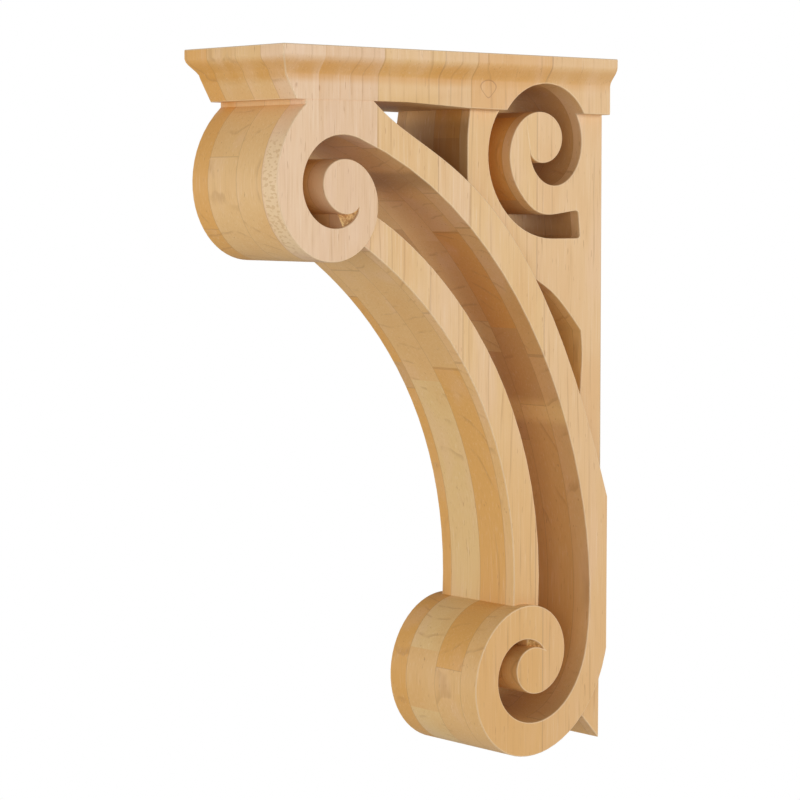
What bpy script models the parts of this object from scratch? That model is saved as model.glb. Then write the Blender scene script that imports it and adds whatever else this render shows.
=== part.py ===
"""Carved wooden scroll corbel that carries a shelf, mantel or worktop overhang.

The corbel is one glued-up blank of maple, sawn and carved into a single piece. Its side shows an
S-shaped scroll band that curls into a volute under the cap's front edge and into a second volute
at the foot of the wall post. A thinner inner band springs between the two volutes, and a smaller
C-shaped scroll is cut through the top of the post.

Frame: metres, +Z up. The flat back lies in the plane y = 0 and the corbel stands out along -Y.
The origin is the middle of the flat back. Side outlines are (y, z) pairs in millimetres, and every
side outline is cut square through the width, so the two sides are mirror images.
"""

from math import cos, hypot, radians, sin

import bmesh
import bpy

MM = 0.001

# Overall size
DEPTH = 229.0            # wall face to the front edge of the cap
HEIGHT = 371.0           # top of the cap to the lowest point of the foot volute
CAP_WIDTH = 80.0         # the moulded cap, across its top
SCROLL_WIDTH = 68.4      # the scroll band and both volutes
POST_WIDTH = 56.8        # the wall post and the inner band, set back from the scroll band

# Cap moulding
CAP_HEIGHT = 26.0
CAP_BAND = 4.6           # upright band round the top edge
OGEE_HEIGHT = 9.8        # from that band down to the fascia
OGEE_STEP = 5.5          # how far the ogee steps in, on the front and on both sides
FASCIA_SLANT = 6.7       # how much further the front fascia leans back to its lower edge
DIP_OUT = 145.0          # from here the cap's underside dips towards the wall
DIP_BEND_OUT = 103.0
DIP_AT_BEND = 2.2
DIP_AT_WALL = 3.5

# Volutes and the C scroll are each placed by the tip of their groove. The lower volute's tip has no
# height of its own, because that volute hangs down to the overall height.
UPPER_TIP_BACK = 52.0    # behind the cap's front edge
UPPER_TIP_DROP = 78.5    # below the top
LOWER_TIP_OUT = 47.8     # out from the wall face
C_TIP_OUT = 53.7
C_TIP_DROP = 50.2

# Each edge of a volute is drawn from the tip outwards. Its angles, in degrees, are its heading at
# the tip and the turn it makes. Its radii are those at the tip and after each further quarter turn.
UPPER_RING_ANGLES = (238.5, -558.0)
UPPER_RING_RADII = (4.3, 17.2, 10.5, 21.9, 27.3, 34.0, 51.5, 68.7)
UPPER_INSIDE_ANGLES = (280.9, -300.0)
UPPER_INSIDE_RADII = (1.0, 19.5, 22.2, 26.7, 46.4)
LOWER_RING_ANGLES = (153.3, 642.0)
LOWER_RING_RADII = (16.9, 10.6, 15.0, 23.5, 26.5, 44.3, 37.0, 70.2, 100.0)
LOWER_INSIDE_ANGLES = (127.9, 312.0)
LOWER_INSIDE_RADII = (16.5, 19.7, 24.4, 36.8, 91.5)
C_EYE_ANGLES = (-80.9, 390.0)
C_EYE_RADII = (1.9, 15.7, 11.1, 20.9, 26.0, 50.0)
C_OUTSIDE_ANGLES = (-84.7, 444.0)
C_OUTSIDE_RADII = (20.1, 16.5, 28.0, 34.9, 39.4, 54.0)

# Inner band, which springs from ring to ring. Its edges leave a ring after so many degrees of turn.
# A curve between two points has the angles of its two headings, and two pulls as ratios of its chord.
GROOVE_EDGE_TURN_ANGLES = (336.0, 360.0)
GROOVE_EDGE_ANGLES = (-23.6, -93.5)
GROOVE_EDGE_PULL_RATIOS = (0.126, 0.544)
FRONT_EDGE_TURN_ANGLES = (372.0, 396.0)
FRONT_EDGE_ANGLES = (-30.3, -93.1)
FRONT_EDGE_PULL_RATIOS = (0.336, 0.408)
BAND_ROOT = 14.0         # how far the inner band runs on inside each volute
MIDDLE_POINTS = slice(4, -2)  # where the scroll band's blank follows the middle of the groove

# Outer band, behind the groove
INSIDE_PULL_RATIOS = (0.427, 0.245)
BAND_TOP_OUT = 167.2     # where its back edge leaves the underside of the cap
BAND_TAIL_DROP = 236.0   # where that edge meets the wall face, below the top
BACK_EDGE_ANGLES = (-41.4, -71.9)
BACK_EDGE_PULL_RATIOS = (0.193, 0.724)

# Window between the outer band, the post and the cap
POST_FRONT = 98.8        # front face of the post, out from the wall face
POST_FLARE = 2.4         # how much slimmer the post is just below the cap
FLARE_DROP = 20.0        # height over which it slims

# Foot of the post, sawn off on the slant
FOOT_LIFT = 1.0          # the foot's point above the lowest point of the volute
FOOT_SLANT = (24.0, 25.6)

# Slot between the outer band and the post, with a blunt corner at its back. It runs along the
# points of the band's back edge between two drops below the top.
SLOT_EDGE_DROPS = (105.0, 200.0)
SLOT_CORNER_OUT = 15.5
SLOT_CORNER_DROP = 145.2
SLOT_ROOF_ANGLES = (132.4, 144.5)
SLOT_ROOF_PULL_RATIOS = (0.7, 0.46)
SLOT_BACK_ANGLES = (86.8, 97.4)
SLOT_BACK_PULL_RATIOS = (0.64, 0.38)

# Square end of the C scroll's groove, with rounded corners, and the groove's roof, which dips from
# the eye and climbs again towards this end
C_END_OUT = 16.6
C_END_LEAN = 1.2
C_END_RADIUS = 1.8
C_ROOF_DROP = 80.8
C_ROOF_END_ANGLE = 4.8
C_ROOF_PULL_RATIOS = (0.52, 0.43)

# Each groove is cut right through, and runs out to its tip in a ramp. These are the degrees of
# turn of its two edges along the ramp.
UPPER_RAMP_ANGLES = (66.0, 84.0)
LOWER_RAMP_ANGLES = (30.0, 42.0)
C_RAMP_ANGLES = (48.0, 24.0)
RAMP_EYE_DEPTHS = (0.8, 6.0)  # at the tip, and where the ramp breaks through into the open groove
RAMP_RIM_DEPTHS = (0.8, 2.0)

MAPLE_COLOUR = (0.72, 0.50, 0.27, 1.0)
QUARTER_TURN = 90.0
HALF_TURN = 180.0
CURVE_STEP = 6.0         # degrees of turn between two points of an edge
LONG_CURVE_POINTS = 22
OGEE_POINTS = 6
FLARE_POINTS = 5
CORNER_POINTS = 3
CUT_MARGIN = 6.0         # how far a cutter runs past what it cuts

TOP = HEIGHT / 2
BOTTOM = -HEIGHT / 2
CAP_BOTTOM = TOP - CAP_HEIGHT
INSIDE_CAP = TOP - CAP_HEIGHT / 2
UPPER_TIP = (-DEPTH + UPPER_TIP_BACK, TOP - UPPER_TIP_DROP)
C_TIP = (-C_TIP_OUT, TOP - C_TIP_DROP)


def clear_scene():
    for item in list(bpy.data.objects):
        bpy.data.objects.remove(item, do_unlink=True)


def step_count(turn):
    return round(abs(turn) / CURVE_STEP)


def volute_edge(tip, angles, radii):
    """Points from the tip outwards, on a curve whose radius changes evenly from quarter to quarter."""
    start, turn = angles
    side = 1 if turn > 0 else -1
    y, z = tip
    points = [(y, z)]
    for index in range(step_count(turn)):
        turned = (index + 0.5) * CURVE_STEP
        quarter = min(int(turned // QUARTER_TURN), len(radii) - 2)
        share = turned / QUARTER_TURN - quarter
        radius = radii[quarter] + (radii[quarter + 1] - radii[quarter]) * share
        heading = radians(start + side * turned)
        chord = 2 * radius * sin(radians(CURVE_STEP) / 2)
        y += chord * cos(heading)
        z += chord * sin(heading)
        points.append((y, z))
    return points


def lower_tip():
    """The lower volute's tip, high enough for its ring to come down just to the lowest point."""
    reach = min(z for _, z in volute_edge((0.0, 0.0), LOWER_RING_ANGLES, LOWER_RING_RADII))
    return (-LOWER_TIP_OUT, BOTTOM - reach)


def moved(point, heading, distance):
    return (point[0] + distance * cos(radians(heading)), point[1] + distance * sin(radians(heading)))


def long_curve(start, end, angles, pull_ratios):
    """A cubic curve from start to end, without its first point."""
    leave, arrive = angles
    leave_pull, arrive_pull = pull_ratios
    chord = hypot(end[0] - start[0], end[1] - start[1])
    first = moved(start, leave, leave_pull * chord)
    last = moved(end, arrive, -arrive_pull * chord)
    points = []
    for index in range(1, LONG_CURVE_POINTS + 1):
        t = index / LONG_CURVE_POINTS
        weights = ((1 - t) ** 3, 3 * (1 - t) ** 2 * t, 3 * (1 - t) * t * t, t ** 3)
        corners = (start, first, last, end)
        points.append(tuple(sum(w * p[axis] for w, p in zip(weights, corners)) for axis in (0, 1)))
    return points


def round_corner(centre, start):
    """A quarter circle at the end of the C scroll's groove, from an angle on."""
    steps = [start + QUARTER_TURN * index / CORNER_POINTS for index in range(CORNER_POINTS + 1)]
    return [moved(centre, angle, C_END_RADIUS) for angle in steps]


def last_heading(angles):
    start, turn = angles
    return start + turn


def with_point_at(points, y):
    """The same points with one more where they cross a distance y, and that point's place."""
    place = next(i for i, point in enumerate(points) if point[0] > y)
    before, after = points[place - 1], points[place]
    share = (y - before[0]) / (after[0] - before[0])
    return points[:place] + [(y, before[1] + share * (after[1] - before[1]))] + points[place:], place


def prism(name, outline, width):
    """A side outline cut square through a width, centred on x = 0."""
    mesh = bpy.data.meshes.new(name)
    bm = bmesh.new()
    side = [bm.verts.new((-width / 2 * MM, y * MM, z * MM)) for y, z in outline]
    face = bm.faces.new(side)
    pushed = bmesh.ops.extrude_face_region(bm, geom=[face])
    far_side = [item for item in pushed["geom"] if isinstance(item, bmesh.types.BMVert)]
    bmesh.ops.translate(bm, verts=far_side, vec=(width * MM, 0, 0))
    bmesh.ops.recalc_face_normals(bm, faces=bm.faces)
    bm.to_mesh(mesh)
    bm.free()
    item = bpy.data.objects.new(name, mesh)
    bpy.context.collection.objects.link(item)
    return item


def ramp(name, edge_a, edge_b, face_x, side):
    """A cutter for the last of a groove: shallow at the tip and at its rim, edge b, deeper by its eye."""
    mesh = bpy.data.meshes.new(name)
    bm = bmesh.new()
    rows = []
    for edge, (tip_depth, end_depth) in ((edge_a, RAMP_EYE_DEPTHS), (edge_b, RAMP_RIM_DEPTHS)):
        step = (end_depth - tip_depth) / (len(edge) - 1)
        rows.append([(tip_depth + step * index, y, z) for index, (y, z) in enumerate(edge)])
    outline = rows[0] + rows[1][:0:-1]
    floor = [bm.verts.new((side * (face_x - depth) * MM, y * MM, z * MM)) for depth, y, z in outline]
    face = bm.faces.new(floor)
    pushed = bmesh.ops.extrude_face_region(bm, geom=[face])
    for item in pushed["geom"]:
        if isinstance(item, bmesh.types.BMVert):
            item.co.x = side * (face_x + CUT_MARGIN) * MM
    bmesh.ops.triangulate(bm, faces=bm.faces)
    bmesh.ops.recalc_face_normals(bm, faces=bm.faces)
    bm.to_mesh(mesh)
    bm.free()
    item = bpy.data.objects.new(name, mesh)
    bpy.context.collection.objects.link(item)
    return item


def combine(target, other, operation):
    """Unite or cut with another object, which stays in the file as a hidden guide."""
    other.hide_render = True
    other.display_type = "WIRE"
    modifier = target.modifiers.new(other.name, "BOOLEAN")
    modifier.operation = operation
    modifier.solver = "EXACT"
    modifier.object = other


def ogee_share(share):
    """The ogee's run-in for a share of its height: round above, hollow below."""
    return share * share * (3 - 2 * share)


def cap_sections():
    """Each level of the cap from the top down, with its inset on the sides and on the front."""
    sections = [(0.0, 0.0, 0.0)]
    for index in range(OGEE_POINTS + 1):
        share = index / OGEE_POINTS
        inset = OGEE_STEP * ogee_share(share)
        sections.append((CAP_BAND + OGEE_HEIGHT * share, inset, inset))
    sections.append((CAP_HEIGHT, OGEE_STEP, OGEE_STEP + FASCIA_SLANT))
    return sections


def make_cap():
    """The moulded cap, with a flat back and mitred front corners."""
    mesh = bpy.data.meshes.new("cap")
    bm = bmesh.new()
    rings = []
    for drop, side_inset, front_inset in cap_sections():
        half = CAP_WIDTH / 2 - side_inset
        front = -DEPTH + front_inset
        corners = ((-half, 0.0), (-half, front), (half, front), (half, 0.0))
        rings.append([bm.verts.new((x * MM, y * MM, (TOP - drop) * MM)) for x, y in corners])
    for upper, lower in zip(rings, rings[1:]):
        for i in range(4):
            bm.faces.new((upper[i], upper[(i + 1) % 4], lower[(i + 1) % 4], lower[i]))
    bm.faces.new(rings[0])
    bm.faces.new(rings[-1])
    bmesh.ops.triangulate(bm, faces=bm.faces)
    bmesh.ops.recalc_face_normals(bm, faces=bm.faces)
    bm.to_mesh(mesh)
    bm.free()
    item = bpy.data.objects.new("cap", mesh)
    bpy.context.collection.objects.link(item)
    return item


def maple():
    material = bpy.data.materials.new("sanded maple")
    material.use_nodes = True
    shader = material.node_tree.nodes["Principled BSDF"]
    shader.inputs["Base Color"].default_value = MAPLE_COLOUR
    shader.inputs["Roughness"].default_value = 0.55
    shader.inputs["Metallic"].default_value = 0.0
    return material


def make_corbel():
    upper_ring = volute_edge(UPPER_TIP, UPPER_RING_ANGLES, UPPER_RING_RADII)
    upper_inside = volute_edge(UPPER_TIP, UPPER_INSIDE_ANGLES, UPPER_INSIDE_RADII)
    lower_ring = volute_edge(lower_tip(), LOWER_RING_ANGLES, LOWER_RING_RADII)
    lower_inside = volute_edge(lower_tip(), LOWER_INSIDE_ANGLES, LOWER_INSIDE_RADII)
    groove_upper, groove_lower = (step_count(turn) for turn in GROOVE_EDGE_TURN_ANGLES)
    front_upper, front_lower = (step_count(turn) for turn in FRONT_EDGE_TURN_ANGLES)

    groove_edge = [upper_ring[groove_upper]]
    groove_edge += long_curve(
        groove_edge[0], lower_ring[groove_lower], GROOVE_EDGE_ANGLES, GROOVE_EDGE_PULL_RATIOS)
    inside_angles = (last_heading(UPPER_INSIDE_ANGLES), last_heading(LOWER_INSIDE_ANGLES) - HALF_TURN)
    inside_edge = [upper_inside[-1]]
    inside_edge += long_curve(inside_edge[0], lower_inside[-1], inside_angles, INSIDE_PULL_RATIOS)
    front_edge = [upper_ring[front_upper]]
    front_edge += long_curve(
        front_edge[0], lower_ring[front_lower], FRONT_EDGE_ANGLES, FRONT_EDGE_PULL_RATIOS)
    back_edge = [(-BAND_TOP_OUT, CAP_BOTTOM)]
    back_edge += long_curve(
        back_edge[0], (0.0, TOP - BAND_TAIL_DROP), BACK_EDGE_ANGLES, BACK_EDGE_PULL_RATIOS)
    back_edge, post_meets_band = with_point_at(back_edge, -POST_FRONT)

    # The scroll band with both volutes, out to the middle of the groove that is cut below
    wall_heading = radians(last_heading(LOWER_RING_ANGLES))
    ring_end = lower_ring[-1]
    touch = (0.0, ring_end[1] - ring_end[0] * sin(wall_heading) / cos(wall_heading))
    middle = [((a[0] + b[0]) / 2, (a[1] + b[1]) / 2) for a, b in zip(groove_edge, inside_edge)]
    outline = [(upper_ring[-1][0], INSIDE_CAP)]
    outline += upper_ring[:groove_upper - 1:-1]
    outline += middle[MIDDLE_POINTS]
    outline += lower_ring[groove_lower:]
    outline.append(touch)
    outline += back_edge[::-1]
    outline.append((-BAND_TOP_OUT, INSIDE_CAP))
    corbel = prism("corbel_bracket", outline, SCROLL_WIDTH)

    # The wall post and the inner band
    foot = (0.0, BOTTOM + FOOT_LIFT)
    outline = [(0.0, INSIDE_CAP), foot, (foot[0] - FOOT_SLANT[0], foot[1] + FOOT_SLANT[1])]
    outline.append(moved(front_edge[-1], FRONT_EDGE_ANGLES[1], BAND_ROOT))
    outline += front_edge[::-1]
    outline.append(moved(front_edge[0], FRONT_EDGE_ANGLES[0], -BAND_ROOT))
    outline.append((outline[-1][0], INSIDE_CAP))
    combine(corbel, prism("post and inner band", outline, POST_WIDTH), "UNION")

    # The long groove between the two bands, cut through from ramp to ramp
    through = SCROLL_WIDTH + 2 * CUT_MARGIN
    upper_ramp = [step_count(turn) for turn in UPPER_RAMP_ANGLES]
    lower_ramp = [step_count(turn) for turn in LOWER_RAMP_ANGLES]
    outline = upper_inside[upper_ramp[1]:]
    outline += inside_edge[1:]
    outline += lower_inside[-2:lower_ramp[1] - 1:-1]
    outline += lower_ring[lower_ramp[0]:groove_lower]
    outline += groove_edge[::-1]
    outline += upper_ring[groove_upper - 1:upper_ramp[0] - 1:-1]
    combine(corbel, prism("long groove", outline, through), "DIFFERENCE")

    # The window below the cap
    outline = back_edge[:post_meets_band + 1]
    for index in range(FLARE_POINTS + 1):
        share = index / FLARE_POINTS
        outline.append((-POST_FRONT + POST_FLARE * share ** 2, CAP_BOTTOM - FLARE_DROP * (1 - share)))
    outline.append((outline[-1][0], INSIDE_CAP))
    outline.append((-BAND_TOP_OUT, INSIDE_CAP))
    combine(corbel, prism("window", outline, through), "DIFFERENCE")

    # The slot between the outer band and the post
    edge = [p for p in back_edge if SLOT_EDGE_DROPS[0] <= TOP - p[1] <= SLOT_EDGE_DROPS[1]]
    corner = (-SLOT_CORNER_OUT, TOP - SLOT_CORNER_DROP)
    back = long_curve(edge[-1], corner, SLOT_BACK_ANGLES, SLOT_BACK_PULL_RATIOS)
    roof = long_curve(corner, edge[0], SLOT_ROOF_ANGLES, SLOT_ROOF_PULL_RATIOS)
    combine(corbel, prism("slot", edge + back + roof[:-1], through), "DIFFERENCE")

    # The cap, and the extra depth of its underside towards the wall, which stays clear of the C scroll
    eye = volute_edge(C_TIP, C_EYE_ANGLES, C_EYE_RADII)
    outside = volute_edge(C_TIP, C_OUTSIDE_ANGLES, C_OUTSIDE_RADII)
    combine(corbel, make_cap(), "UNION")
    outline = [(-DIP_OUT, CAP_BOTTOM)]
    outline.append((-DIP_BEND_OUT, CAP_BOTTOM - DIP_AT_BEND))
    outline.append((0.0, CAP_BOTTOM - DIP_AT_WALL))
    outline.append((0.0, INSIDE_CAP))
    outline.append((-DIP_OUT, INSIDE_CAP))
    dip = prism("dip of the underside", outline, CAP_WIDTH - 2 * OGEE_STEP)
    outline = [point for point in outside if point[1] > CAP_BOTTOM - 2 * DIP_AT_WALL]
    combine(dip, prism("top of the C scroll", outline, through), "DIFFERENCE")
    combine(corbel, dip, "UNION")

    # The C scroll, which bites into the cap's fascia
    c_ramp = [step_count(turn) for turn in C_RAMP_ANGLES]
    roof_end = (-C_END_OUT - C_END_LEAN - C_END_RADIUS, TOP - C_ROOF_DROP)
    roof_angles = (last_heading(C_EYE_ANGLES), C_ROOF_END_ANGLE)
    roof = long_curve(eye[-1], roof_end, roof_angles, C_ROOF_PULL_RATIOS)
    outline = outside[c_ramp[1]:]
    outline += round_corner((-C_END_OUT - C_END_RADIUS, outside[-1][1] + C_END_RADIUS), -QUARTER_TURN)
    outline += round_corner((roof_end[0], roof_end[1] - C_END_RADIUS), 0.0)
    outline += roof[-2::-1]
    outline += eye[:c_ramp[0] - 1:-1]
    combine(corbel, prism("C groove", outline, CAP_WIDTH + 2 * CUT_MARGIN), "DIFFERENCE")

    # The ramps at the groove tips, on both sides. Each runs one step on into its open groove.
    grooves = (
        ("upper ramp", upper_ring, upper_inside, upper_ramp, SCROLL_WIDTH),
        ("lower ramp", lower_ring, lower_inside, lower_ramp, SCROLL_WIDTH),
        ("C ramp", eye, outside, c_ramp, POST_WIDTH),
    )
    for name, edge_a, edge_b, counts, width in grooves:
        for side in (-1, 1):
            cutter = ramp(name, edge_a[:counts[0] + 2], edge_b[:counts[1] + 2], width / 2, side)
            combine(corbel, cutter, "DIFFERENCE")

    corbel.data.materials.append(maple())
    return corbel


def main():
    clear_scene()
    make_corbel()


main()
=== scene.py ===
"""Looks of a carved scroll corbel in hard maple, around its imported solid.

The corbel is one blank, glued up from four upright strips side by side. Each strip is itself made
of boards, and the whole is sawn and carved as one piece, then sanded by hand and left unfinished.
Lengths on the corbel are millimetres, turned to metres by MM where a mesh needs them. The camera,
the lights and the floor are placed in metres.
"""

from math import cos, radians, sin

import bmesh
import bpy
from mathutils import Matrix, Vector


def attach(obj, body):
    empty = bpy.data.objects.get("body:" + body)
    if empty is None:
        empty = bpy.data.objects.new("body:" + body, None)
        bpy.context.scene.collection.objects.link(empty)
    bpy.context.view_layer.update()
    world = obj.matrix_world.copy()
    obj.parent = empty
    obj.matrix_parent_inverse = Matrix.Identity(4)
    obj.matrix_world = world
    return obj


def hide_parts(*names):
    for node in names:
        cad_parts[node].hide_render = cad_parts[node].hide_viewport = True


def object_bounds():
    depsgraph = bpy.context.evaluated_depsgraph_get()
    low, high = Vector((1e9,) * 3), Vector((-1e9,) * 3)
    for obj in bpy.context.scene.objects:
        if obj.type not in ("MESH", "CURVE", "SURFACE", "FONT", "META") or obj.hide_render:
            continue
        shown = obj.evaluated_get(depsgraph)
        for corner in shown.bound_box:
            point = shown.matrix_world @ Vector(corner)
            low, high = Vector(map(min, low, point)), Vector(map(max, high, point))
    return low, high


MM = 0.001

# Sanded arrises, and what tells the carved ramps and the sawn edges from the other faces
MERGE_DISTANCE = 0.02
FLAT_ANGLE = 0.4             # degrees between two triangles of one flat face
ARRIS_ANGLE = 28.0           # an edge that turns by more than this is eased
ARRIS_WIDTH = 0.6
ARRIS_SEGMENTS = 3
NARROW_FACE = 1.3            # times the arris, under which a face has no room for one
SMOOTH_ANGLE = 30.0
RAMP_LEAN = (0.25, 0.985)    # how far a ramp's floor faces to the side
RAMPS_BELOW = 150.0
SIDE_LEAN = 0.5              # a face that leans less to the side than this is a sawn edge
ARRIS = "arris"              # face attributes that the finish reads
GOUGED = "gouged"
SAWN = "sawn"

# Camera where the photograph was taken, turned down and round by degrees, with its square frame
CAMERA_PLACE = (1.0009, -0.9969, 0.1132)
CAMERA_DOWN = 4.587
CAMERA_ROUND = 48.788
SENSOR = 36.0
LENS = 115.09

# Soft boxes: the turn from the corbel's front towards its near side, the rise, and the watts
SOFTBOXES = {
    "side": (118.0, 8.0, 26.0),
    "front left": (-25.0, 0.0, 15.0),
    "front near": (40.0, 4.0, 8.5),
    "front high": (0.0, 35.0, 4.5),
    "low": (30.0, -35.0, 7.0),
}
SOFTBOX_SIZE = 1.0
SOFTBOX_DISTANCE = 2.2
SWEEP_LIGHT = 0.22           # that the white sweep throws on the corbel

BAR_HEIGHT = 1.06            # a bar top that such a corbel carries, above the floor
FLOOR_RADIUS = 2.2
FLOOR_SIDES = 96
FLOOR_SOFT_FROM = 0.7
FLOOR_ROUGHNESS = 0.9

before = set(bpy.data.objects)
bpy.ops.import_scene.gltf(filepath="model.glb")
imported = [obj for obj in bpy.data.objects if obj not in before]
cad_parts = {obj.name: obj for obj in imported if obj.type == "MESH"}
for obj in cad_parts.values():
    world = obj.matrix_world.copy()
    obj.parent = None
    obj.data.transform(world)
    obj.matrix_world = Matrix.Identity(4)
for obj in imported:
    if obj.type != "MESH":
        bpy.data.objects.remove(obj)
cad_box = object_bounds()


def linear(colour):
    """An sRGB hex colour as linear red, green, blue and alpha."""
    channels = [int(colour[i:i + 2], 16) / 255 for i in (0, 2, 4)]
    return tuple(c / 12.92 if c <= 0.04045 else ((c + 0.055) / 1.055) ** 2.4 for c in channels) + (1.0,)


def add(tree, kind, inputs=None, **settings):
    """Adds a node with its settings, sets or links its inputs, and gives back its working output."""
    made = tree.nodes.new(kind)
    for name, value in settings.items():
        setattr(made, name, value)
    for key, value in (inputs or {}).items():
        if isinstance(key, int):
            socket = made.inputs[key]
        else:
            socket = next(s for s in made.inputs if s.enabled and s.name == key)
        if isinstance(value, bpy.types.NodeSocket):
            tree.links.new(value, socket)
        else:
            socket.default_value = value
    return next((s for s in made.outputs if s.enabled), None)


# The four strips of the blank, from the far side to the near one: where each one ends across the
# width, and its columns from the front to the wall. A column has the depth at which it ends, the
# height of the butt joint between its two boards, and the tones of the lower and the upper one. A
# board that runs the whole height has its joint at the foot.
FOOT = -185.5
TONES = {
    "pink": "EBC69E",
    "rose": "E7C096",
    "sand": "E8BF8A",
    "cream": "EACB92",
    "honey": "E7BD82",
    "tan": "E3B87C",
    "peach": "E4B273",
    "amber": "E1A95C",
    "brown": "CFA36D",
}
WALL = 1.0                   # just behind the back face, where the last columns end
STRIPS = (
    (-21.0, ((-171.0, 96.0, "amber", "amber"), (-101.0, 60.0, "amber", "tan"),
             (WALL, 10.0, "amber", "brown"))),
    (2.0, ((-150.0, 131.8, "honey", "tan"), (-95.0, 110.0, "honey", "tan"),
           (-50.0, 45.5, "cream", "tan"), (WALL, -20.0, "tan", "brown"))),
    (22.0, ((-168.0, FOOT, "honey", "honey"), (-100.0, FOOT, "tan", "tan"),
            (-58.0, -137.0, "honey", "amber"), (WALL, 0.0, "tan", "brown"))),
    (40.0, ((-203.5, FOOT, "pink", "pink"), (-165.5, FOOT, "rose", "rose"),
            (-125.0, FOOT, "honey", "honey"), (-102.6, FOOT, "sand", "sand"),
            (-49.4, 156.8, "honey", "peach"), (WALL, FOOT, "sand", "sand"))),
)
DEPTH = 229.0
JOINT_WIDTH = 0.45           # of the thin line that the glue leaves
NUMBER_STEP = 0.618          # from one board's number to the next, so that no two lie alike


def stepped(tree, y, stops):
    """A colour for each stretch of the depth, from stops that say where a stretch ends."""
    place = add(tree, "ShaderNodeMapRange", {"Value": y, "From Min": -DEPTH, "From Max": WALL})
    stretches = add(tree, "ShaderNodeValToRGB", {"Fac": place})
    ramp = stretches.node.color_ramp
    ramp.interpolation = "CONSTANT"
    ramp.elements.remove(ramp.elements[1])
    start = 0.0
    for end, colour in stops:
        stop = ramp.elements[0] if start == 0.0 else ramp.elements.new(start)
        stop.color = colour
        start = (end + DEPTH) / (WALL + DEPTH)
    return stretches


def picked(tree, switch, first, second):
    """The tone and the number of the first board, or those of the second where the switch is one."""
    tone = add(tree, "ShaderNodeMix", {"Factor": switch, "A": first[0], "B": second[0]}, data_type="RGBA")
    number = add(tree, "ShaderNodeMix", {"Factor": switch, "A": first[1], "B": second[1]}, data_type="FLOAT")
    return tone, number


def near(tree, value, place):
    """One within half a glue line of a place, and nothing elsewhere."""
    return add(tree, "ShaderNodeMath", {0: value, 1: place, 2: JOINT_WIDTH / 2}, operation="COMPARE")


def either(tree, a, b):
    """One where either mask is one."""
    return add(tree, "ShaderNodeMath", {0: a, 1: b}, operation="MAXIMUM")


def overlap(tree, *masks):
    """One where every mask is one, and fainter where any of them fades."""
    shared = masks[0]
    for mask in masks[1:]:
        shared = add(tree, "ShaderNodeMath", {0: shared, 1: mask}, operation="MULTIPLY")
    return shared


def strip_boards(tree, y, z, columns, count):
    """The tone and number of the board at each point of one strip, and the strip's glue lines."""
    lower, upper, joints = [], [], []
    start = -DEPTH
    for place, (end, joint, low_tone, high_tone) in enumerate(columns, count):
        low_number = place * NUMBER_STEP % 1
        high_number = (place * NUMBER_STEP + 0.5) % 1
        lower.append((end, linear(TONES[low_tone])[:3] + (low_number,)))
        upper.append((end, linear(TONES[high_tone])[:3] + (high_number,)))
        level = (joint - FOOT) / (-2 * FOOT)
        joints.append((start + JOINT_WIDTH, (level, float(start > -DEPTH), 0.0, 1.0)))
        joints.append((end, (level, 0.0, 0.0, 1.0)))
        start = end
    lower, upper = stepped(tree, y, lower), stepped(tree, y, upper)
    split = add(tree, "ShaderNodeSeparateColor", {"Color": stepped(tree, y, joints)}).node.outputs
    level = add(tree, "ShaderNodeMapRange", {"Value": split["Red"], "To Min": FOOT, "To Max": -FOOT})
    above = add(tree, "ShaderNodeMath", {0: z, 1: level}, operation="GREATER_THAN")
    board = picked(tree, above, (lower, lower.node.outputs["Alpha"]), (upper, upper.node.outputs["Alpha"]))
    return board, either(tree, split["Green"], near(tree, z, level))


def boards(tree, x, y, z):
    """The tone and number of the board at each point, and the fine lines of the glue joints."""
    (start_x, columns), *others = STRIPS
    count = 1
    board, line = strip_boards(tree, y, z, columns, count)
    for end_x, next_columns in others:
        count += len(columns)
        columns = next_columns
        next_board, next_line = strip_boards(tree, y, z, columns, count)
        past = add(tree, "ShaderNodeMath", {0: x, 1: start_x}, operation="GREATER_THAN")
        board = picked(tree, past, board, next_board)
        line = add(tree, "ShaderNodeMix", {"Factor": past, "A": line, "B": next_line}, data_type="FLOAT")
        line = either(tree, line, near(tree, x, start_x))
        start_x = end_x
    return board, line


# Noises in the timber: the millimetres of a grain across the fibres and along them, then its detail
# and roughness. Maple's own fibres and rays are too fine to show, so these are coarser.
CLOUDS = (20.0, 60.0, 2.0, 0.5)
FIBRES = (0.8, 26.0, 3.0, 0.6)
RAYS = (0.9, 8.0, 1.0, 0.5)
RING_BENDS = (24.0, 130.0, 2.0, 0.5)
RING_FADES = (14.0, 45.0, 2.0, 0.5)
CURLS = (3.4, 1.5, 1.0, 0.5)
TEARS = (1.6, 3.5, 4.0, 0.7)

# The levels between which a noise begins to show and shows fully
RAY_LEVELS = (0.70, 0.78)
FADE_LEVELS = (0.46, 0.62)
CURL_LEVELS = (0.52, 0.6)
TEAR_LEVELS = (0.4, 0.6)
SATIN_LEVELS = (0.2, 0.8)

# Tints over a board's own tone, each with its strength, and with the levels of its noise if it has one
DARK_CLOUD = ("DCA35C", 0.26, 0.48, 0.75)
PALE_CLOUD = ("F0CDB2", 0.24, 0.5, 0.28)
DARK_FIBRE = ("BC8A55", 0.35, 0.52, 0.85)
PALE_FIBRE = ("F6DFC0", 0.3, 0.46, 0.2)
LATE_WOOD = ("AC7842", 0.34)
RAY_FLECK = ("A56B38", 0.45)
KNOT = ("A8703C", 0.6)
CURLY = ("F2D8A8", 0.45)
RIPPLE = ("C99A62", 0.4)
GLUE = ("8F6034", 0.26)
# paler sanded wood on the eased arrises, together with a painted highlight along them
PALE_ARRIS_AND_HIGHLIGHT = ("F8DFB8", 0.4)
GOLDEN_FOOT = ("DCA254", 0.55)
# painted shade: the cove of the cap's ogee made darker and golden, as its hollow faces down
HOLLOW_PAINTED_SHADE = ("D69A44", 0.8)
GOLDEN_EDGE = ("D8A04E", 0.34)
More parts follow.
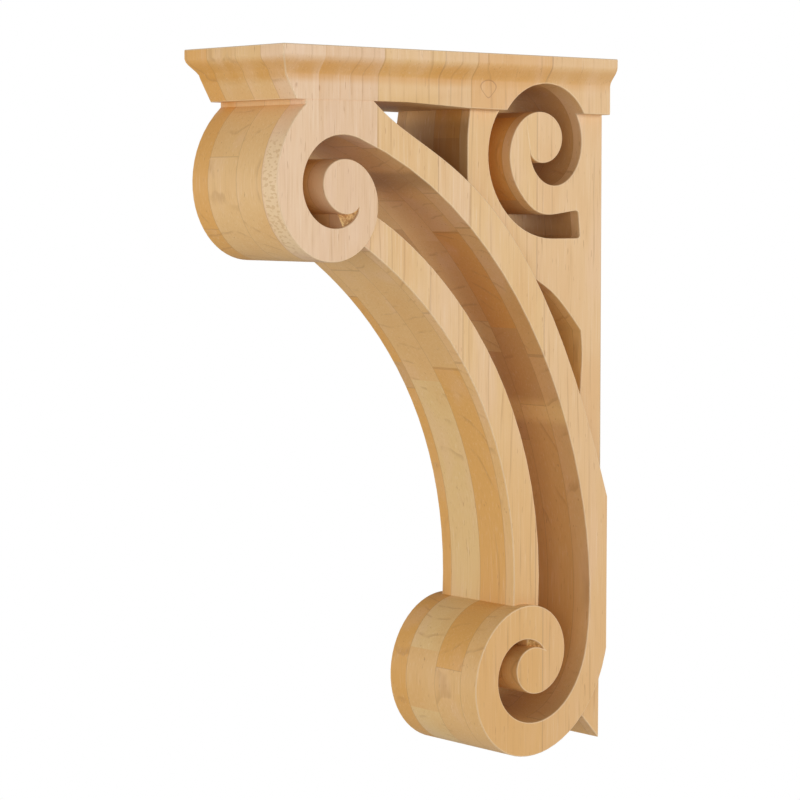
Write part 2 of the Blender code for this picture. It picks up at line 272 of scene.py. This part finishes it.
# painted shade: the sawn walls inside the window made darker
WINDOW_PAINTED_SHADE = ("6C4010", 0.38)
# painted light: the sawn walls of the slot made paler and golden, as if lit from the front
SLOT_PAINTED_LIGHT = ("FFD890", 0.5)
TORN_PALE = "F2CB85"
TORN_DARK = "B9813C"

# Where the casts of single places lie, painted shade and painted light among them. Two levels are where one
# begins and where it is full. Of four, the outer two are where it begins and has gone, and the inner two are
# where it is full. The shares are how much of the cast there is at the first level and at the second.
FOOT_Z = (40.0, -150.0)
FOOT_Y = (0.0, -80.0)
FOOT_SHARES = (0.5, 1.0)
NEAR_SIDE_X = (26.0, 28.0)
# the cap's cove, whose golden cast is painted shade
HOLLOW_Z = (166.5, 171.5, 176.0, 180.5)
HOLLOW_Y = (-110.0, -100.0)
HOLLOW_SHARES = (1.0, 0.6)
HOLLOW_CLOUD = (0.3, 0.6)
HOLLOW_CLOUD_SHARES = (0.56, 1.0)
EDGE_Z = (110.0, 40.0)
EDGE_SHARES = (0.24, 1.0)
# the window, whose dark cast is painted shade
WINDOW_Y = (-144.0, -138.0, -98.0, -92.0)
WINDOW_Z = (112.0, 120.0, 148.0, 156.0)
# the slot, whose pale cast is painted light
SLOT_Y = (-38.0, -35.0, -6.0, -3.0)
SLOT_Z = (-12.0, -6.0, 76.0, 82.0)
CURL_X = (21.8, 24.0, 33.4, 33.9)
CURL_Y = (-200.0, -214.0)
CURL_Z = (74.0, 90.0, 136.0, 148.0)

# Growth rings round a pith beside each board
PITH_X = -14.0
PITH_Y = (-260.0, 60.0)      # between which the boards' piths lie
PITH_LEAN = 0.04             # to the side for each millimetre up
RING_SPACING = 7.5
RING_BEND = 9.0              # by which the noise moves a ring
LATE_WOOD_RISE = (0.80, 0.96, 0.96, 1.0)

# Knot on the side of the cap, whose half width grows from one level to another
KNOT_Y = -90.0
KNOT_Z = 167.5
KNOT_HALF_HEIGHT = 4.6
KNOT_TAPER_Z = (162.0, 170.0)
KNOT_HALF_WIDTHS = (2.4, 6.0)
KNOT_LINE = (0.87, 0.96, 0.99, 1.08)
CAP_SIDE_X = (33.9, 34.3)

# Surface of the sanded wood and of the gouged ramps, with heights beside those of the fibres
BOARD_SHIFT = (410.0, 290.0, 930.0)    # between the boards' stretches of timber
SATIN_ROUGHNESS = (0.42, 0.58)
GOUGED_ROUGHNESS = 0.8
GOUGED_SHARE = 0.8
RAY_RELIEF = -0.6
GOUGE_RELIEF = 8.0
RELIEF_STRENGTH = 0.35
RELIEF_DEPTH = 0.06


def grain_space(tree, millimetres, number):
    """Each board's own stretch of timber: the same place, moved far along by the board's number."""
    shift = add(tree, "ShaderNodeVectorMath", {0: BOARD_SHIFT, "Scale": number}, operation="SCALE")
    return add(tree, "ShaderNodeVectorMath", {0: millimetres, 1: shift}, operation="ADD")


def stretched_noise(tree, timber, grain):
    """Noise in the timber, drawn out along its fibres."""
    across, along, detail, rough = grain
    scale = (1 / across, 1 / across, 1 / along)
    scaled = add(tree, "ShaderNodeVectorMath", {0: timber, 1: scale}, operation="MULTIPLY")
    return add(tree, "ShaderNodeTexNoise",
               {"Vector": scaled, "Scale": 1.0, "Detail": detail, "Roughness": rough})


def between(tree, value, low, high, to_low=0.0, to_high=1.0):
    """A smooth step of a value from one level to another."""
    return add(tree, "ShaderNodeMapRange",
               {"Value": value, "From Min": low, "From Max": high, "To Min": to_low, "To Max": to_high},
               interpolation_type="SMOOTHSTEP")


def within(tree, value, levels):
    """One between the two inner levels, and nothing outside the two outer ones."""
    begins, full, still_full, gone = levels
    return overlap(tree, between(tree, value, begins, full), between(tree, value, gone, still_full))


def tinted(tree, base, tint, mask):
    """A tone with a tint over it, at the tint's strength where the mask is one."""
    colour, strength = tint
    share = overlap(tree, mask, strength)
    return add(tree, "ShaderNodeMix", {"Factor": share, "A": base, "B": linear(colour)}, data_type="RGBA")


def mottled(tree, base, tint, noise):
    """A tone with a tint over it wherever the noise passes the tint's levels."""
    *tint, begins, full = tint
    return tinted(tree, base, tint, between(tree, noise, begins, full))


def distance(tree, a, b):
    """How far a point of a flat drawing lies from its middle."""
    flat = add(tree, "ShaderNodeCombineXYZ", {"X": a, "Y": b, "Z": 0.0})
    return add(tree, "ShaderNodeVectorMath", {0: flat}, operation="LENGTH").node.outputs["Value"]


def growth_rings(tree, x, y, z, timber, number):
    """Thin brown late-wood lines round a pith that lies beside each board and leans a little."""
    beside = add(tree, "ShaderNodeMath", {0: x, 1: PITH_X}, operation="SUBTRACT")
    beside = add(tree, "ShaderNodeMath", {0: z, 1: PITH_LEAN, 2: beside}, operation="MULTIPLY_ADD")
    before = add(tree, "ShaderNodeMath", {0: y, 1: between(tree, number, 0.0, 1.0, *PITH_Y)},
                 operation="SUBTRACT")
    bends = stretched_noise(tree, timber, RING_BENDS)
    radius = add(tree, "ShaderNodeMath", {0: bends, 1: RING_BEND, 2: distance(tree, beside, before)},
                 operation="MULTIPLY_ADD")
    rings = add(tree, "ShaderNodeMath", {0: radius, 1: RING_SPACING}, operation="DIVIDE")
    phase = add(tree, "ShaderNodeMath", {0: rings}, operation="FRACT")
    fade = between(tree, stretched_noise(tree, timber, RING_FADES), *FADE_LEVELS)
    return overlap(tree, within(tree, phase, LATE_WOOD_RISE), fade)


def knot_ring(tree, x, y, z):
    """The fine outline of a small knot on the side of the cap, drawn to a point at its foot."""
    half_width = between(tree, z, *KNOT_TAPER_Z, *KNOT_HALF_WIDTHS)
    beside = add(tree, "ShaderNodeMath", {0: y, 1: KNOT_Y}, operation="SUBTRACT")
    beside = add(tree, "ShaderNodeMath", {0: beside, 1: half_width}, operation="DIVIDE")
    above = add(tree, "ShaderNodeMath", {0: z, 1: KNOT_Z}, operation="SUBTRACT")
    above = add(tree, "ShaderNodeMath", {0: above, 1: KNOT_HALF_HEIGHT}, operation="DIVIDE")
    outline = within(tree, distance(tree, beside, above), KNOT_LINE)
    return overlap(tree, outline, between(tree, x, *CAP_SIDE_X))


def with_casts_and_painted_light(tree, tone, x, y, z, cloud, sawn):
    """Broad changes of tone within a board, casts that places on the corbel have, painted shade in the cap's
    hollow and the window, and painted light in the slot.
    """
    colour = mottled(tree, tone, DARK_CLOUD, cloud)
    colour = mottled(tree, colour, PALE_CLOUD, cloud)
    foot = overlap(tree, between(tree, z, *FOOT_Z), between(tree, y, *FOOT_Y, *FOOT_SHARES))
    side = overlap(tree, between(tree, x, *NEAR_SIDE_X), between(tree, sawn, 1.0, 0.0))
    colour = tinted(tree, colour, GOLDEN_FOOT, overlap(tree, foot, side))
    # Painted shade in the cap's cove, uneven with the clouds
    hollow = overlap(tree, within(tree, z, HOLLOW_Z), between(tree, y, *HOLLOW_Y, *HOLLOW_SHARES))
    uneven = between(tree, cloud, *HOLLOW_CLOUD, *HOLLOW_CLOUD_SHARES)
    colour = tinted(tree, colour, HOLLOW_PAINTED_SHADE, overlap(tree, hollow, uneven))
    edge = overlap(tree, sawn, between(tree, z, *EDGE_Z, *EDGE_SHARES))
    colour = tinted(tree, colour, GOLDEN_EDGE, edge)
    # Painted shade on the sawn walls inside the window
    window = overlap(tree, within(tree, y, WINDOW_Y), within(tree, z, WINDOW_Z))
    colour = tinted(tree, colour, WINDOW_PAINTED_SHADE, overlap(tree, window, sawn))
    # Painted light on the sawn walls of the slot
    slot = overlap(tree, within(tree, y, SLOT_Y), within(tree, z, SLOT_Z))
    return tinted(tree, colour, SLOT_PAINTED_LIGHT, overlap(tree, slot, sawn))


def with_curl(tree, colour, x, y, z, timber):
    """Curly maple at the front of the near strip, with short ripples across the fibres."""
    figured = overlap(tree, within(tree, x, CURL_X), within(tree, z, CURL_Z), between(tree, y, *CURL_Y))
    colour = tinted(tree, colour, CURLY, figured)
    ripples = between(tree, stretched_noise(tree, timber, CURLS), *CURL_LEVELS)
    return tinted(tree, colour, RIPPLE, overlap(tree, figured, ripples))


def sanded_maple():
    """Hard maple, sanded and unfinished: creamy, closely grained and satin, with fine brown late wood."""
    material = bpy.data.materials.new("sanded hard maple")
    material.use_nodes = True
    tree = material.node_tree
    shader = tree.nodes["Principled BSDF"]
    place = add(tree, "ShaderNodeTexCoord").node.outputs["Object"]
    millimetres = add(tree, "ShaderNodeVectorMath", {0: place, "Scale": 1 / MM}, operation="SCALE")
    x, y, z = add(tree, "ShaderNodeSeparateXYZ", {"Vector": millimetres}).node.outputs
    arris, gouged, sawn = (add(tree, "ShaderNodeAttribute", attribute_name=name).node.outputs["Fac"]
                           for name in (ARRIS, GOUGED, SAWN))

    (tone, number), line = boards(tree, x, y, z)
    timber = grain_space(tree, millimetres, number)
    colour = with_casts_and_painted_light(tree, tone, x, y, z, stretched_noise(tree, timber, CLOUDS), sawn)

    # Growth rings, fibres, the short flecks of the rays, a knot and the curly front
    colour = tinted(tree, colour, LATE_WOOD, growth_rings(tree, x, y, z, timber, number))
    fibre = stretched_noise(tree, timber, FIBRES)
    colour = mottled(tree, colour, DARK_FIBRE, fibre)
    colour = mottled(tree, colour, PALE_FIBRE, fibre)
    fleck = between(tree, stretched_noise(tree, timber, RAYS), *RAY_LEVELS)
    colour = tinted(tree, colour, RAY_FLECK, fleck)
    colour = tinted(tree, colour, KNOT, knot_ring(tree, x, y, z))
    colour = with_curl(tree, colour, x, y, z, timber)

    # Glue lines, the paler wood of the sanded arrises with a painted highlight along them, and the torn
    # grain of the gouged ramps
    colour = tinted(tree, colour, GLUE, line)
    # Paler sanded arrises with a painted highlight
    colour = tinted(tree, colour, PALE_ARRIS_AND_HIGHLIGHT, arris)
    tears = stretched_noise(tree, timber, TEARS)
    torn = add(tree, "ShaderNodeMix", {"Factor": between(tree, tears, *TEAR_LEVELS), "A": linear(TORN_PALE),
                                       "B": linear(TORN_DARK)}, data_type="RGBA")
    share = overlap(tree, gouged, GOUGED_SHARE)
    colour = add(tree, "ShaderNodeMix", {"Factor": share, "A": colour, "B": torn}, data_type="RGBA")
    tree.links.new(colour, shader.inputs["Base Color"])

    satin = between(tree, fibre, *SATIN_LEVELS, *SATIN_ROUGHNESS)
    tree.links.new(either(tree, satin, overlap(tree, gouged, GOUGED_ROUGHNESS)), shader.inputs["Roughness"])
    fine = add(tree, "ShaderNodeMath", {0: fleck, 1: RAY_RELIEF, 2: fibre}, operation="MULTIPLY_ADD")
    relief = add(tree, "ShaderNodeMath", {0: overlap(tree, gouged, tears), 1: GOUGE_RELIEF, 2: fine},
                 operation="MULTIPLY_ADD")
    bump = add(tree, "ShaderNodeBump",
               {"Height": relief, "Strength": RELIEF_STRENGTH, "Distance": RELIEF_DEPTH * MM})
    tree.links.new(bump, shader.inputs["Normal"])
    return material


def is_ramp(face):
    """A carved ramp's floor, which faces partly to the side, as only the cap's hollow also does."""
    low, high = RAMP_LEAN
    return low < abs(face.normal.x) < high and face.calc_center_median().z < RAMPS_BELOW * MM


def roomy(face, edge):
    """Whether a face is wide enough for an arris, over all and beside the middle of the edge."""
    room = NARROW_FACE * ARRIS_WIDTH * MM
    corner = next(c for c in edge.link_loops if c.face == face)
    start, end = corner.vert.co, corner.link_loop_next.vert.co
    inside = (start + end) / 2 + face.normal.cross(end - start).normalized() * room
    return (face.calc_area() / edge.calc_length() > room
            and bmesh.geometry.intersect_face_point(face, inside))


def ease_arrises(bm):
    """Rounds each outer edge that has room on both of its faces, as sandpaper leaves it."""
    edges = [e for e in bm.edges
             if len(e.link_faces) == 2 and e.is_convex
             and e.calc_face_angle(0.0) > radians(ARRIS_ANGLE)
             and all(roomy(f, e) for f in e.link_faces)]
    return bmesh.ops.bevel(bm, geom=edges, offset=ARRIS_WIDTH * MM, offset_type="OFFSET", affect="EDGES",
                           segments=ARRIS_SEGMENTS, profile=0.5, material=-1, miter_outer="ARC",
                           clamp_overlap=False, loop_slide=True)["faces"]


def dress_corbel(material):
    """The corbel with its arrises eased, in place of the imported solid."""
    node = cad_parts["corbel_bracket"]
    bm = bmesh.new()
    bm.from_mesh(node.data)
    bmesh.ops.remove_doubles(bm, verts=bm.verts, dist=MERGE_DISTANCE * MM)
    bmesh.ops.dissolve_limit(bm, angle_limit=radians(FLAT_ANGLE), verts=bm.verts, edges=bm.edges)
    arris = bm.faces.layers.float.new(ARRIS)
    gouged = bm.faces.layers.float.new(GOUGED)
    sawn = bm.faces.layers.float.new(SAWN)
    for face in bm.faces:
        face[gouged] = float(is_ramp(face))
        face[sawn] = float(abs(face.normal.x) < SIDE_LEAN)
    for face in ease_arrises(bm):
        face[arris] = 1.0
        face[gouged] = 0.0
    mesh = bpy.data.meshes.new("corbel")
    bm.to_mesh(mesh)
    bm.free()
    mesh.shade_smooth()
    mesh.set_sharp_from_angle(angle=radians(SMOOTH_ANGLE))
    mesh.materials.append(material)
    corbel = bpy.data.objects.new("corbel", mesh)
    bpy.context.collection.objects.link(corbel)
    even = corbel.modifiers.new("flat faces stay flat", "WEIGHTED_NORMAL")
    even.keep_sharp = True
    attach(corbel, "root")
    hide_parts("corbel_bracket")


def make_camera():
    """The view that the photograph was taken from."""
    data = bpy.data.cameras.new("photograph")
    data.sensor_width = SENSOR
    data.lens = LENS
    camera = bpy.data.objects.new("photograph", data)
    camera.location = CAMERA_PLACE
    camera.rotation_euler = (radians(90.0 - CAMERA_DOWN), 0.0, radians(CAMERA_ROUND))
    bpy.context.collection.objects.link(camera)
    bpy.context.scene.camera = camera


def softbox(name, round_from_front, up, power):
    """A square soft light that faces the corbel, turned from its front towards its near side."""
    turn, rise = radians(round_from_front), radians(up)
    towards = Vector((sin(turn) * cos(rise), -cos(turn) * cos(rise), sin(rise)))
    data = bpy.data.lights.new(name, "AREA")
    data.shape = "SQUARE"
    data.size = SOFTBOX_SIZE
    data.energy = power
    lamp = bpy.data.objects.new(name, data)
    lamp.location = towards * SOFTBOX_DISTANCE
    lamp.rotation_euler = (-towards).to_track_quat("-Z", "Y").to_euler()
    bpy.context.collection.objects.link(lamp)


def make_floor():
    """A pale round floor, a bar's height below the top, that fades out towards its rim."""
    bm = bmesh.new()
    bmesh.ops.create_circle(bm, cap_ends=True, segments=FLOOR_SIDES, radius=FLOOR_RADIUS)
    height = cad_box[1].z - BAR_HEIGHT
    bmesh.ops.translate(bm, verts=bm.verts, vec=(0.0, 0.0, height))
    mesh = bpy.data.meshes.new("floor")
    bm.to_mesh(mesh)
    bm.free()
    floor = bpy.data.objects.new("floor", mesh)
    bpy.context.collection.objects.link(floor)

    # Matt paint scatters the light evenly, so the floor shows no reflection of the corbel
    material = bpy.data.materials.new("matt white floor paint")
    material.use_nodes = True
    tree = material.node_tree
    shader = tree.nodes["Principled BSDF"]
    shader.inputs["Base Color"].default_value = linear("F4F3F1")
    shader.inputs["Roughness"].default_value = FLOOR_ROUGHNESS
    place = add(tree, "ShaderNodeTexCoord").node.outputs["Object"]
    flat = add(tree, "ShaderNodeVectorMath", {0: place, 1: (1.0, 1.0, 0.0)}, operation="MULTIPLY")
    out = add(tree, "ShaderNodeVectorMath", {0: flat}, operation="LENGTH").node.outputs["Value"]
    tree.links.new(between(tree, out, FLOOR_SOFT_FROM, FLOOR_RADIUS, 1.0, 0.0), shader.inputs["Alpha"])
    mesh.materials.append(material)


def make_studio():
    """A white sweep that reads as white behind the corbel, with soft boxes round it."""
    scene = bpy.context.scene
    scene.view_settings.view_transform = "Standard"
    world = bpy.data.worlds.new("studio")
    scene.world = world
    world.use_nodes = True
    tree = world.node_tree
    tree.nodes.clear()
    seen = add(tree, "ShaderNodeLightPath").node.outputs["Is Camera Ray"]
    strength = add(tree, "ShaderNodeMapRange", {"Value": seen, "To Min": SWEEP_LIGHT, "To Max": 1.0})
    light = add(tree, "ShaderNodeBackground", {"Color": linear("FFFFFF"), "Strength": strength})
    add(tree, "ShaderNodeOutputWorld", {"Surface": light})
    for name, place in SOFTBOXES.items():
        softbox(name, *place)


dress_corbel(sanded_maple())
make_floor()
make_camera()
make_studio()
